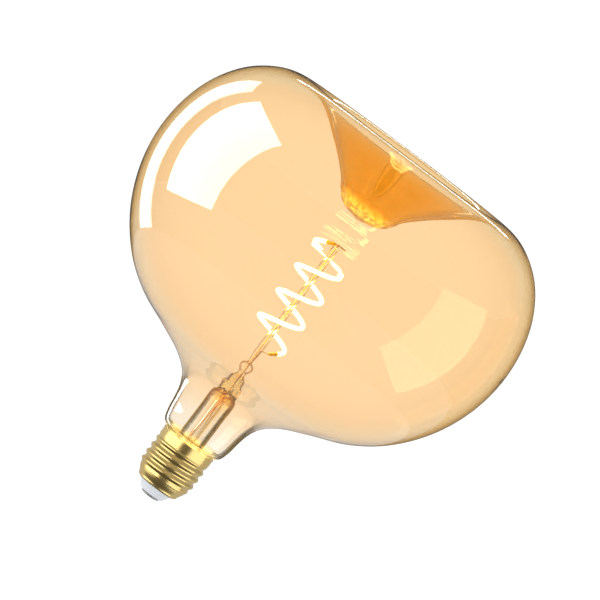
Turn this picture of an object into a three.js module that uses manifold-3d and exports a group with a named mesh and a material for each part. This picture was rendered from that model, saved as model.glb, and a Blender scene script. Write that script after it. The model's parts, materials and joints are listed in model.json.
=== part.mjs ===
// Large globe filament lamp with an E27 screw cap and a radio-controlled LED driver.
// Units are millimetres. +Z runs along the lamp's axis, from the end contact to the crater in the dome.
// The origin is the middle of the end contact's flat face.
import * as THREE from "three";
import initManifold from "manifold-3d";

const wasm = await initManifold();
wasm.setup();

const TAU = 2 * Math.PI;

// ---- envelope ----
// Outer outline [radius, height]: neck in the cap, shoulder, globe, crest, crater.
const NECK_OUTLINE = [
  [10.9, 21.6], [10.9, 26.2], [12.1, 28.9], [14.9, 31.1],
  [16.4, 35.6], [17.3, 41.5], [18.5, 46.8], [21.5, 52.2],
];
const GLOBE_OUTLINE = [
  [28.2, 57.6], [40.5, 63.4], [55.8, 70.1], [69.2, 80], [81.2, 94.9], [89, 112.5], [92, 131],
  [90.3, 148.5], [85, 163], [75.8, 175.3], [63, 183.5], [51.5, 185.5],
];
const CRATER_OUTLINE = [[43.5, 183.3], [30, 173.8], [16.5, 161.5], [9.5, 153.1], [0, 150.5]];
const GLASS_WALL = 1;
const ENVELOPE_SEGMENTS = 36;

// ---- stem ----
const FLARE_R = 6.3;
const FLARE_WALL = 0.9;
const FLARE_RIM_R = 10.7;
const FLARE_RIM_Z = 20.4;
const FLARE_TOP_Z = 57.4;
const EXHAUST_R = 2.1;
const EXHAUST_BORE_R = 1.15;
const EXHAUST_TIP_Z = 24.5;
const EXHAUST_TOP_Z = 53;
const PRESS_Z = 57.7;
const PRESS_HEIGHT = 5.3;
const PRESS_WIDTH = 9.4;
const PRESS_DEPTH = 4.4;
const PRESS_CORNER_R = 1.6;
const WIRE_HOLE_R = 0.42;
const WIRE_R = 0.25;
const SEAL_WIRE_R = 0.32;
// The two wires pass the press here, in plan.
const UPPER_WIRE_XY = [0, 0];
const LOWER_WIRE_XY = [0.3, -1.3];
const BUTTON_Z = 63.3;
const BEAD_Z = 69.5;
const BEAD_R = 3.2;
const BEAD_CORE_R = 2;
const BEAD_HALF_HEIGHT = 1.95;
const BEAD_ARCS = 6;
const DRILL_LENGTH = 12;
const ROD_R = 1.45;
const ROD_BORE_R = 0.5;
const ROD_FOOT_Z = 71.8;
const ROD_TOP_Z = 134.9;

// ---- filament ----
const HELIX_R = 9.2;
const HELIX_PITCH = 13.4;
const HELIX_Z = 84.7;
const STRAND_R = 0.9;
const STRAND_START_DEG = -38;
const STRAND_END_DEG = 1319;
const TOP_TURN_DEG = 1260;
const FERRULE_DEG = 25;
const FERRULE_R = 0.85;
const FERRULE_GAP_DEG = 0.8;
const STRIP_WIDTH = 1.3;
const STRIP_THICKNESS = 0.3;
const STRIP_GAP = 0.05;
const LOWER_DROOP = 1.1;
const UPPER_LIFT = 0.9;
const STEPS_PER_TURN = 16;

// ---- cap ----
const THREAD_PITCH = 3.629;
const THREAD_DEPTH = 1.04;
const THREAD_PHASE_Z = 2.94;
const THREAD_FADE_IN = [9.2, 12.2];
const THREAD_FADE_OUT = [23.4, 24.8];
const SHEET = 0.3;
// Middle of the sheet [radius, height], before the thread is rolled into it.
const SHELL_OUTLINE = [
  [8.7, 5.1], [9.6, 5.5], [10.1, 6.6], [11.3, 8.8], [12.1, 10.9], [12.45, 13], [12.5, 24.4], [12.75, 25.1],
  [12.75, 28.4], [12.85, 28.9],
];
const SHELL_SEGMENTS = 32;
const SHELL_ROW_HEIGHT = 0.62;
const INSULATOR_HOLE_R = 0.8;
const CONTACT_FLAT_R = 2.6;
const CONTACT_R = 4.4;
const CONTACT_THICKNESS = 0.9;

// ---- driver ----
const BOARD_R = 10.4;
const BOARD_Z = 15.6;
const BOARD_THICKNESS = 1.2;
const BOARD_TOP = BOARD_Z + BOARD_THICKNESS;
const LAYER_GAP = 0.1;
const CAPACITOR = { r: 3.1, x: -4.2, y: 0.8, z: 8.9, height: 6.5 };
const INDUCTOR = { r: 2.6, waist: 1.1, x: 4.2, y: 3.4, z: 10.7, height: 4.6, flange: 0.7 };
const RESISTOR = { r: 1.25, x: 0.4, y: -6.6, z: 9.5, height: 5.6 };
const RECTIFIER = { x: 4.6, y: -4.2, z: 13.8, width: 4.7, depth: 3.9, height: 1.5, corner: 0.3 };
const CHIP = { x: -3.6, y: 0, z: BOARD_TOP + LAYER_GAP, width: 5, depth: 4, height: 1.4, corner: 0.2 };
const RADIO = { x: 4.4, y: 0, z: 17.9, width: 8, depth: 11, height: 0.8, corner: 0.6 };
const RADIO_TOP = RADIO.z + RADIO.height;
const SHIELD = { x: 5.2, y: -0.8, z: RADIO_TOP + LAYER_GAP, width: 5.4, depth: 7, height: 1.1, corner: 0.4 };
const ANTENNA_R = 0.2;

const group = new THREE.Group();
group.name = "smart_light_bulb";

function finish(name, geometry, look) {
  const material = new THREE.MeshStandardMaterial(look);
  material.name = name;
  const mesh = new THREE.Mesh(geometry, material);
  mesh.name = name;
  group.add(mesh);
}

// Turns every face round when the body would otherwise face inward.
function facingOut(geometry) {
  const body = geometry.index ? geometry.toNonIndexed() : geometry;
  const p = body.attributes.position;
  let volume = 0;
  const a = new THREE.Vector3();
  const b = new THREE.Vector3();
  const c = new THREE.Vector3();
  for (let i = 0; i < p.count; i += 3) {
    a.fromBufferAttribute(p, i);
    b.fromBufferAttribute(p, i + 1);
    c.fromBufferAttribute(p, i + 2);
    volume += a.dot(b.cross(c));
  }
  if (volume > 0) {
    return body;
  }
  for (let i = 0; i < p.count; i += 3) {
    a.fromBufferAttribute(p, i);
    c.fromBufferAttribute(p, i + 2);
    p.setXYZ(i, c.x, c.y, c.z);
    p.setXYZ(i + 2, a.x, a.y, a.z);
  }
  body.computeVertexNormals();
  return body;
}

// Body turned about +Z from a [radius, height] outline that starts and ends on the axis.
function turned(outline, segments) {
  const points = outline.map(([r, z]) => new THREE.Vector2(r, z));
  const geometry = new THREE.LatheGeometry(points, segments);
  geometry.rotateX(Math.PI / 2);
  return facingOut(geometry);
}

// The same for a ring, whose outline closes on itself.
function ring(outline, segments) {
  return turned([...outline, outline[0]], segments);
}

function discShape(radius) {
  return new THREE.Shape().absarc(0, 0, radius, 0, TAU);
}

function holeAt(x, y, radius) {
  return new THREE.Path().absarc(x, y, radius, 0, TAU, true);
}

function plate(shape, z, thickness, curveSegments = 8) {
  const options = { depth: thickness, bevelEnabled: false, curveSegments };
  const geometry = new THREE.ExtrudeGeometry(shape, options);
  geometry.translate(0, 0, z);
  return facingOut(geometry);
}

function roundedRect(x, y, width, depth, corner) {
  const left = x - width / 2;
  const right = x + width / 2;
  const near = y - depth / 2;
  const far = y + depth / 2;
  const shape = new THREE.Shape();
  shape.absarc(right - corner, near + corner, corner, -Math.PI / 2, 0);
  shape.absarc(right - corner, far - corner, corner, 0, Math.PI / 2);
  shape.absarc(left + corner, far - corner, corner, Math.PI / 2, Math.PI);
  shape.absarc(left + corner, near + corner, corner, Math.PI, Math.PI * 1.5);
  return shape;
}

// Flat block with rounded upright edges.
function block({ x, y, z, width, depth, height, corner }) {
  return plate(roundedRect(x, y, width, depth, corner), z, height, 2);
}

// A section swept along a curve. The section's own plane stays square to the curve.
function swept(shape, curve, steps, curveSegments = 4) {
  const geometry = new THREE.ExtrudeGeometry(shape, { extrudePath: curve, steps, curveSegments });
  return facingOut(geometry);
}

// Even, rounded curve through [x, y, z] points.
function smoothCurve(points) {
  return new THREE.CatmullRomCurve3(points.map((p) => new THREE.Vector3(...p)), false, "centripetal");
}

function wire(points, radius, steps) {
  return swept(discShape(radius), smoothCurve(points), steps);
}

function upright(outline, x, y, segments) {
  const geometry = turned(outline, segments);
  geometry.translate(x, y, 0);
  return geometry;
}

// Closed mesh as a solid that can be cut. Corners that lie together are merged first.
function toSolid(geometry) {
  const position = geometry.attributes.position;
  const keys = new Map();
  const vertices = [];
  const triangles = [];
  for (let i = 0; i < position.count; i += 3) {
    const corner = [0, 1, 2].map((k) => {
      const xyz = [position.getX(i + k), position.getY(i + k), position.getZ(i + k)];
      const key = xyz.map((v) => Math.round(v * 1e4)).join();
      if (!keys.has(key)) {
        keys.set(key, vertices.length / 3);
        vertices.push(...xyz);
      }
      return keys.get(key);
    });
    if (new Set(corner).size === 3) {
      triangles.push(...corner);
    }
  }
  const mesh = new wasm.Mesh({
    numProp: 3,
    vertProperties: new Float32Array(vertices),
    triVerts: new Uint32Array(triangles),
  });
  return new wasm.Manifold(mesh);
}

function fromSolid(solid) {
  const mesh = solid.getMesh();
  const geometry = new THREE.BufferGeometry();
  geometry.setAttribute("position", new THREE.BufferAttribute(new Float32Array(mesh.vertProperties), 3));
  geometry.setIndex(Array.from(mesh.triVerts));
  return facingOut(geometry);
}

// ---- glass envelope ----
function envelope() {
  const outline = [...NECK_OUTLINE, ...GLOBE_OUTLINE, ...CRATER_OUTLINE];
  const curve = smoothCurve(outline.map(([r, z]) => [r, 0, z]));
  const spans = outline.length - 1;
  const outside = [];
  const inside = [];
  for (let span = 0; span < spans; span++) {
    const pieces = span < NECK_OUTLINE.length ? 1 : 2;
    for (let k = 0; k < pieces; k++) {
      const t = (span + k / pieces) / spans;
      const point = curve.getPoint(t);
      const tangent = curve.getTangent(t);
      outside.push([point.x, point.z]);
      inside.push([point.x - GLASS_WALL * tangent.z, point.z + GLASS_WALL * tangent.x]);
    }
  }
  inside[0] = [NECK_OUTLINE[0][0] - GLASS_WALL, NECK_OUTLINE[0][1]];
  const floor = outline[spans][1];
  const loop = [[0, floor - GLASS_WALL], ...inside.reverse(), ...outside, [0, floor]];
  return turned(loop, ENVELOPE_SEGMENTS);
}

const AMBER_GLASS = { color: 0xe8a552, transparent: true, opacity: 0.35, roughness: 0.03 };
finish("glass_envelope", envelope(), AMBER_GLASS);

// ---- stem ----
const GLASS = { color: 0xe9e4d8, transparent: true, opacity: 0.4, roughness: 0.05 };

finish("stem_flare", ring([
  [FLARE_RIM_R, FLARE_RIM_Z + FLARE_WALL],
  [9.3, FLARE_RIM_Z + FLARE_WALL],
  [8.7, 22],
  [7.4, 24],
  [6.6, 26.6],
  [FLARE_R, 30],
  [FLARE_R, 53.6],
  [6, 55.2],
  [5.1, 56.6],
  [4, FLARE_TOP_Z],
  [2.9, FLARE_TOP_Z],
  [3.9, 56],
  [5, 54.8],
  [FLARE_R - FLARE_WALL, 53.2],
  [FLARE_R - FLARE_WALL, 30],
  [5.7, 26.2],
  [6.6, 23.5],
  [8.3, 21.2],
  [9.8, FLARE_RIM_Z],
  [FLARE_RIM_R, FLARE_RIM_Z],
], 24), GLASS);

finish("exhaust_tube", turned([
  [0, EXHAUST_TIP_Z],
  [1.4, EXHAUST_TIP_Z + 0.7],
  [EXHAUST_R, EXHAUST_TIP_Z + 2.4],
  [EXHAUST_R, EXHAUST_TOP_Z],
  [EXHAUST_BORE_R, EXHAUST_TOP_Z],
  [EXHAUST_BORE_R, EXHAUST_TIP_Z + 3.2],
  [0, EXHAUST_TIP_Z + 2],
], 16), GLASS);

const pressShape = roundedRect(0, 0, PRESS_WIDTH, PRESS_DEPTH, PRESS_CORNER_R);
pressShape.holes.push(holeAt(...UPPER_WIRE_XY, WIRE_HOLE_R), holeAt(...LOWER_WIRE_XY, WIRE_HOLE_R));
finish("stem_press", plate(pressShape, PRESS_Z, PRESS_HEIGHT, 5), GLASS);

// The lower lead's hole is drilled off the axis, so this piece is cut rather than turned.
function button() {
  const outline = [
    [WIRE_HOLE_R, BUTTON_Z],
    [2.3, BUTTON_Z],
    [2, BUTTON_Z + 1.4],
    [2.1, BEAD_Z - BEAD_HALF_HEIGHT],
  ];
  for (let k = 1; k < BEAD_ARCS; k++) {
    const angle = -Math.PI / 2 + (Math.PI * k) / BEAD_ARCS;
    outline.push([
      BEAD_CORE_R + (BEAD_R - BEAD_CORE_R) * Math.cos(angle),
      BEAD_Z + BEAD_HALF_HEIGHT * Math.sin(angle),
    ]);
  }
  outline.push([1.5, BEAD_Z + BEAD_HALF_HEIGHT], [WIRE_HOLE_R, BEAD_Z + BEAD_HALF_HEIGHT]);
  const [x, y] = LOWER_WIRE_XY;
  const drill = new THREE.CylinderGeometry(WIRE_HOLE_R, WIRE_HOLE_R, DRILL_LENGTH, 10);
  drill.rotateX(Math.PI / 2);
  drill.translate(x, y, BUTTON_Z - 1 + DRILL_LENGTH / 2);
  const body = toSolid(ring(outline, 20));
  return fromSolid(body.subtract(toSolid(facingOut(drill))));
}

finish("stem_button", button(), GLASS);

finish("support_rod", ring([
  [ROD_BORE_R, ROD_FOOT_Z],
  [0.85, ROD_FOOT_Z],
  [1.05, ROD_FOOT_Z + 1.6],
  [ROD_R, ROD_FOOT_Z + 3.8],
  [ROD_R, ROD_TOP_Z - 0.3],
  [ROD_R - 0.3, ROD_TOP_Z],
  [ROD_BORE_R, ROD_TOP_Z],
], 16), GLASS);

// ---- filament ----
// One long helix. Its lower end droops a little and its upper end lifts a little.
class FilamentPath extends THREE.Curve {
  constructor(startDeg, endDeg) {
    super();
    this.startDeg = startDeg;
    this.endDeg = endDeg;
  }

  getPoint(t, target = new THREE.Vector3()) {
    const degrees = this.startDeg + (this.endDeg - this.startDeg) * t;
    const angle = (degrees * Math.PI) / 180;
    const droop = degrees < 0 ? LOWER_DROOP * (degrees / 50) ** 2 : 0;
    const past = Math.max(0, degrees - TOP_TURN_DEG);
    const lift = UPPER_LIFT * (past / 75) ** 2;
    const z = HELIX_Z + (HELIX_PITCH * degrees) / 360 - droop + lift;
    return target.set(HELIX_R * Math.cos(angle), HELIX_R * Math.sin(angle), z);
  }
}

const strand = new FilamentPath(STRAND_START_DEG, STRAND_END_DEG);
const strandSteps = Math.round(((STRAND_END_DEG - STRAND_START_DEG) / 360) * STEPS_PER_TURN);

function stripShape() {
  const w = STRIP_WIDTH / 2;
  const h = STRIP_THICKNESS / 2;
  return new THREE.Shape([
    new THREE.Vector2(-w, -h),
    new THREE.Vector2(w, -h),
    new THREE.Vector2(w, h),
    new THREE.Vector2(-w, h),
  ]);
}

// Half of the round coating, on one side of the strip.
function coatingShape(side) {
  const flat = STRIP_THICKNESS / 2 + STRIP_GAP;
  const from = Math.asin(flat / STRAND_R);
  const shape = new THREE.Shape();
  if (side > 0) {
    shape.absarc(0, 0, STRAND_R, from, Math.PI - from);
  } else {
    shape.absarc(0, 0, STRAND_R, Math.PI + from, TAU - from);
  }
  return shape;
}

const COATING = { color: 0xffe9b8, roughness: 0.6, emissive: 0xffc870, emissiveIntensity: 0.6 };
finish("filament_strip", swept(stripShape(), strand, strandSteps), { color: 0xc98b4a, roughness: 0.4 });
finish("filament_coating_a", swept(coatingShape(1), strand, strandSteps, 3), COATING);
finish("filament_coating_b", swept(coatingShape(-1), strand, strandSteps, 3), COATING);

const FERRULE = { color: 0xd8941e, roughness: 0.35, metalness: 0.6 };
const lowerEndDeg = STRAND_START_DEG - FERRULE_GAP_DEG;
const upperStartDeg = STRAND_END_DEG + FERRULE_GAP_DEG;
const lowerFerrule = new FilamentPath(lowerEndDeg - FERRULE_DEG, lowerEndDeg);
const upperFerrule = new FilamentPath(upperStartDeg, upperStartDeg + FERRULE_DEG);
finish("filament_ferrule_lower", swept(discShape(FERRULE_R), lowerFerrule, 5), FERRULE);
finish("filament_ferrule_upper", swept(discShape(FERRULE_R), upperFerrule, 5), FERRULE);

// ---- wires in the lamp ----
const NICKEL = { color: 0x9a8f80, roughness: 0.35, metalness: 1 };
const COPPER = { color: 0xb87333, roughness: 0.35, metalness: 1 };
const [lowerX, lowerY] = LOWER_WIRE_XY;
const pressTop = PRESS_Z + PRESS_HEIGHT;

const lowerStart = lowerFerrule.getPoint(0);
finish("lower_lead_wire", wire([
  [lowerX, lowerY, pressTop + 0.2],
  [lowerX, lowerY, 66],
  [lowerX, lowerY, 70],
  [lowerX, lowerY - 0.1, 72.4],
  [0.7, -1.75, 75],
  [0.9, -1.95, 78.8],
  [1.4, -3.2, 79.5],
  [lowerStart.x - 0.6, lowerStart.y + 0.7, lowerStart.z - 0.2],
], WIRE_R, 22), NICKEL);

finish("upper_lead_wire", wire([
  [...UPPER_WIRE_XY, pressTop + 0.2],
  [...UPPER_WIRE_XY, ROD_TOP_Z + 1.5],
], WIRE_R, 2), NICKEL);

const upperEnd = upperFerrule.getPoint(1);
finish("top_cross_wire", wire([
  [upperEnd.x + 0.35, upperEnd.y + 0.2, upperEnd.z + 0.05],
  [0.5, -5.5, 135.7],
  [0.1, -1.6, 135.75],
  [0.7, -0.6, 135.75],
  [3.8, 1.4, 135.5],
], WIRE_R, 14), NICKEL);

function sealWire(xy) {
  return wire([[...xy, PRESS_Z + 0.1], [...xy, pressTop - 0.1]], SEAL_WIRE_R, 1);
}

finish("seal_wire_upper", sealWire(UPPER_WIRE_XY), COPPER);
finish("seal_wire_lower", sealWire(LOWER_WIRE_XY), COPPER);

finish("copper_lead_lower", wire([
  [lowerX, lowerY, PRESS_Z - 0.1],
  [0.2, -1.9, 55.4],
  [0, -2.9, 52],
  [-0.6, -3.1, 45],
  [-1.4, -3.3, 35],
  [-2.2, -3.9, 27],
  [-3.8, -4.6, 22],
  [-6, -4.2, BOARD_TOP + 0.2],
], WIRE_R, 22), COPPER);

finish("copper_lead_upper", wire([
  [...UPPER_WIRE_XY, PRESS_Z - 0.1],
  [0, 0.9, 55.6],
  [0, 2.9, 52],
  [-0.2, 3.2, 45],
  [-0.9, 3.6, 32],
  [-2, 4, 27],
  [-3.8, 4.6, 22],
  [-6, 4.2, BOARD_TOP + 0.2],
], WIRE_R, 22), COPPER);

// ---- screw cap ----
function smoothstep([low, high], value) {
  const t = Math.min(1, Math.max(0, (value - low) / (high - low)));
  return t * t * (3 - 2 * t);
}

// Rows of the shell's sheet, with the straight threaded stretch cut into equal rows.
function shellRows() {
  const rows = [];
  for (let i = 0; i < SHELL_OUTLINE.length - 1; i++) {
    const [r0, z0] = SHELL_OUTLINE[i];
    const [r1, z1] = SHELL_OUTLINE[i + 1];
    const pieces = Math.max(1, z1 < 25 ? Math.round((z1 - z0) / SHELL_ROW_HEIGHT) : 1);
    for (let k = 0; k < pieces; k++) {
      rows.push([r0 + ((r1 - r0) * k) / pieces, z0 + ((z1 - z0) * k) / pieces]);
    }
  }
  rows.push(SHELL_OUTLINE[SHELL_OUTLINE.length - 1]);
  return rows;
}

function shell() {
  const rows = shellRows();
  const loop = [
    ...rows.map(([r, z]) => [r + SHEET / 2, z]),
    ...rows.map(([r, z]) => [r - SHEET / 2, z]).reverse(),
  ];
  const vertices = [];
  for (let j = 0; j < SHELL_SEGMENTS; j++) {
    const angle = (TAU * j) / SHELL_SEGMENTS;
    for (const [r, z] of loop) {
      const fade = smoothstep(THREAD_FADE_IN, z) * (1 - smoothstep(THREAD_FADE_OUT, z));
      const wave = Math.cos((TAU * (z - THREAD_PHASE_Z)) / THREAD_PITCH - angle);
      const radius = r + (THREAD_DEPTH / 2) * fade * wave;
      vertices.push(radius * Math.cos(angle), radius * Math.sin(angle), z);
    }
  }
  const n = loop.length;
  const index = [];
  for (let j = 0; j < SHELL_SEGMENTS; j++) {
    const here = j * n;
    const next = ((j + 1) % SHELL_SEGMENTS) * n;
    for (let i = 0; i < n; i++) {
      const k = (i + 1) % n;
      index.push(here + i, next + i, next + k, here + i, next + k, here + k);
    }
  }
  const geometry = new THREE.BufferGeometry();
  geometry.setAttribute("position", new THREE.Float32BufferAttribute(vertices, 3));
  geometry.setIndex(index);
  return facingOut(geometry);
}

const BRASS = { color: 0xd9a441, roughness: 0.25, metalness: 1 };
finish("screw_shell", shell(), BRASS);

finish("cap_insulator", ring([
  [INSULATOR_HOLE_R, 1.1],
  [4.9, 1.1],
  [5.6, 1.5],
  [7.6, 4.2],
  [8.3, 4.6],
  [8.3, 5.6],
  [9, 6],
  [9, 7.2],
  [INSULATOR_HOLE_R, 7.2],
], 28), { color: 0xf2f0ea, roughness: 0.3 });

finish("end_contact", turned([
  [0, 0],
  [CONTACT_FLAT_R, 0],
  [3.7, 0.12],
  [CONTACT_R, 0.5],
  [CONTACT_R, CONTACT_THICKNESS],
  [0, CONTACT_THICKNESS],
], 24), { color: 0x8e8a84, roughness: 0.4, metalness: 1 });

finish("basing_cement", ring([
  [11.25, 24.8],
  [12.25, 24.8],
  [12.25, 28],
  [12, 28],
  [11.25, 26.2],
], 28), { color: 0xd8cfc0, roughness: 0.9 });

// ---- driver in the cap ----
const BOARD = { color: 0x2d6b3c, roughness: 0.5 };
const EPOXY = { color: 0x1b1b1d, roughness: 0.5 };
finish("driver_board", plate(discShape(BOARD_R), BOARD_Z, BOARD_THICKNESS, 12), BOARD);

const capTop = CAPACITOR.z + CAPACITOR.height;
finish("reservoir_capacitor", upright([
  [0, CAPACITOR.z],
  [CAPACITOR.r - 0.3, CAPACITOR.z],
  [CAPACITOR.r, CAPACITOR.z + 0.3],
  [CAPACITOR.r, capTop - 1.3],
  [CAPACITOR.r - 0.25, capTop - 1],
  [CAPACITOR.r, capTop - 0.7],
  [CAPACITOR.r, capTop],
  [0, capTop],
], CAPACITOR.x, CAPACITOR.y, 16), { color: 0x22313f, roughness: 0.4 });

const coreTop = INDUCTOR.z + INDUCTOR.height;
finish("inductor_core", upright([
  [0, INDUCTOR.z],
  [INDUCTOR.r, INDUCTOR.z],
  [INDUCTOR.r, INDUCTOR.z + INDUCTOR.flange],
  [INDUCTOR.waist, INDUCTOR.z + INDUCTOR.flange],
  [INDUCTOR.waist, coreTop - INDUCTOR.flange],
  [INDUCTOR.r, coreTop - INDUCTOR.flange],
  [INDUCTOR.r, coreTop],
  [0, coreTop],
], INDUCTOR.x, INDUCTOR.y, 16), EPOXY);
const winding = ring([
  [INDUCTOR.waist + 0.15, INDUCTOR.z + INDUCTOR.flange + 0.15],
  [INDUCTOR.r - 0.35, INDUCTOR.z + INDUCTOR.flange + 0.15],
  [INDUCTOR.r - 0.35, coreTop - INDUCTOR.flange - 0.15],
  [INDUCTOR.waist + 0.15, coreTop - INDUCTOR.flange - 0.15],
], 16);
winding.translate(INDUCTOR.x, INDUCTOR.y, 0);
finish("inductor_winding", winding, COPPER);

finish("bridge_rectifier", block(RECTIFIER), EPOXY);

finish("fusible_resistor", upright([
  [0, RESISTOR.z],
  [RESISTOR.r - 0.3, RESISTOR.z],
  [RESISTOR.r, RESISTOR.z + 0.5],
  [RESISTOR.r - 0.15, RESISTOR.z + 1.2],
  [RESISTOR.r - 0.15, RESISTOR.z + RESISTOR.height - 1.2],
  [RESISTOR.r, RESISTOR.z + RESISTOR.height - 0.5],
  [RESISTOR.r - 0.3, RESISTOR.z + RESISTOR.height],
  [0, RESISTOR.z + RESISTOR.height],
], RESISTOR.x, RESISTOR.y, 12), { color: 0x6f9bb0, roughness: 0.5 });

finish("driver_chip", block(CHIP), EPOXY);
finish("radio_board", block(RADIO), BOARD);
finish("radio_shield", block(SHIELD), { color: 0xb9bcc0, roughness: 0.35, metalness: 1 });

finish("antenna_wire", wire([
  [2, 4.4, RADIO_TOP + 0.2],
  [1.9, 4.3, 22],
  [1.3, 3.9, 28],
  [1.1, 3.4, 34],
  [1.1, 3.3, 46],
], ANTENNA_R, 12), COPPER);

finish("contact_wire", wire([
  [RESISTOR.x, RESISTOR.y, RESISTOR.z - 0.2],
  [0.35, -5.7, 8.2],
  [0.1, -2.4, 7.95],
  [0, -0.5, 7.5],
  [0, 0, 6.4],
  [0, 0, CONTACT_THICKNESS + 0.1],
], WIRE_R, 16), COPPER);

finish("shell_wire", wire([
  [0.5, 8.9, BOARD_Z - 0.2],
  [0.5, 9.4, 14],
  [0.5, 10.4, 12.4],
  [0.5, 10.9, 11],
], WIRE_R, 8), COPPER);

export default group;
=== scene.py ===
import json
import math

import bpy
import numpy as np
from mathutils import Matrix, Vector

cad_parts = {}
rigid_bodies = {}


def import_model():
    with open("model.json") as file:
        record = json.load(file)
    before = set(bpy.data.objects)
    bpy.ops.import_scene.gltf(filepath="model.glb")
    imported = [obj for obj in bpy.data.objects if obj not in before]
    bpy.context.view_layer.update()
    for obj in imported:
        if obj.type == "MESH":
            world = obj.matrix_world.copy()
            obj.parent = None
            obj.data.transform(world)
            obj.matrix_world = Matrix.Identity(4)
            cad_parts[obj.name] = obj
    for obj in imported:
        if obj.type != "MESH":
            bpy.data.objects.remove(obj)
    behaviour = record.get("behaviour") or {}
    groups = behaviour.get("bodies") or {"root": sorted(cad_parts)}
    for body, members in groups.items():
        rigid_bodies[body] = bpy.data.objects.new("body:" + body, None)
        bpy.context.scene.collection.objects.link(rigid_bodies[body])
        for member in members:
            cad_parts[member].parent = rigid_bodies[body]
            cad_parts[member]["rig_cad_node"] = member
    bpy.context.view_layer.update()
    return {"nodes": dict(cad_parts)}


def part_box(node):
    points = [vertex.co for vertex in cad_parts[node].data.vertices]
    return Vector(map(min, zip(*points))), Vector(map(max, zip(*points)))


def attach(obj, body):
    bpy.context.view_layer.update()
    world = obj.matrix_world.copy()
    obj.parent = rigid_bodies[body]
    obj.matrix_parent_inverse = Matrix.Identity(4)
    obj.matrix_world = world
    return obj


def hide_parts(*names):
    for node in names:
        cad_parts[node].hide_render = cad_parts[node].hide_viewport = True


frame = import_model()

MM = 0.001
TAU = 2 * math.pi

# ---- where things are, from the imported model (metres) ----
glass_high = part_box("glass_envelope")[1]
shell_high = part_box("screw_shell")[1]
rod_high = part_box("support_rod")[1]

# ---- mesh helpers ----


def new_object(name, vertices, faces):
    mesh = bpy.data.meshes.new(name)
    mesh.from_pydata([tuple(v) for v in vertices], [], faces)
    mesh.validate()
    mesh.update()
    mesh.shade_smooth()
    obj = bpy.data.objects.new(name, mesh)
    bpy.context.scene.collection.objects.link(obj)
    return obj


def loft(name, rows, segments=96, loop=False, shape=None):
    """Skin over rows of (half width x, half depth y, z) in metres.
    A row of zero width is one point on the axis. loop joins the last row to the first.
    shape(angle, half width, z) scales a row's two half measures."""
    vertices, starts, faces = [], [], []
    for a, b, z in rows:
        starts.append(len(vertices))
        if a < 1e-7:
            vertices.append((0.0, 0.0, z))
            continue
        for j in range(segments):
            angle = TAU * j / segments
            k = shape(angle, a, z) if shape else 1.0
            vertices.append((a * k * math.cos(angle), b * k * math.sin(angle), z))
    count = len(rows)
    for i in range(count if loop else count - 1):
        n = (i + 1) % count
        here_point, next_point = rows[i][0] < 1e-7, rows[n][0] < 1e-7
        if here_point and next_point:
            continue
        for j in range(segments):
            k = (j + 1) % segments
            if here_point:
                faces.append((starts[i], starts[n] + k, starts[n] + j))
            elif next_point:
                faces.append((starts[i] + j, starts[i] + k, starts[n]))
            else:
                faces.append((starts[i] + j, starts[i] + k, starts[n] + k, starts[n] + j))
    return new_object(name, vertices, faces)


def turned(name, outline, segments=96, loop=False, shape=None):
    """Body of revolution from a [radius, z] outline in millimetres."""
    return loft(name, [(r * MM, r * MM, z * MM) for r, z in outline], segments, loop, shape)


def between(first, last, low, high, t):
    """The value at t on the line from first at low to last at high."""
    return ((high - t) * first + (t - low) * last) / (high - low)


def smooth_curve(points, per_span):
    """Centripetal Catmull-Rom spline through the points.
    per_span is the number of steps in every span, or a list with a number for each span."""
    p = np.array(points, float)
    p = np.vstack([2 * p[0] - p[1], p, 2 * p[-1] - p[-2]])
    spans = len(p) - 3
    steps = [per_span] * spans if isinstance(per_span, int) else per_span
    out = []
    for i in range(spans):
        q = p[i:i + 4]
        knots = [0.0]
        for k in range(3):
            knots.append(knots[-1] + np.linalg.norm(q[k + 1] - q[k]) ** 0.5)
        for t in np.linspace(knots[1], knots[2], steps[i], endpoint=False):
            a = [between(q[k], q[k + 1], knots[k], knots[k + 1], t) for k in range(3)]
            b = [between(a[k], a[k + 1], knots[k], knots[k + 2], t) for k in range(2)]
            out.append(between(b[0], b[1], knots[1], knots[2], t))
    out.append(p[-2])
    return np.array(out)


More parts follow.
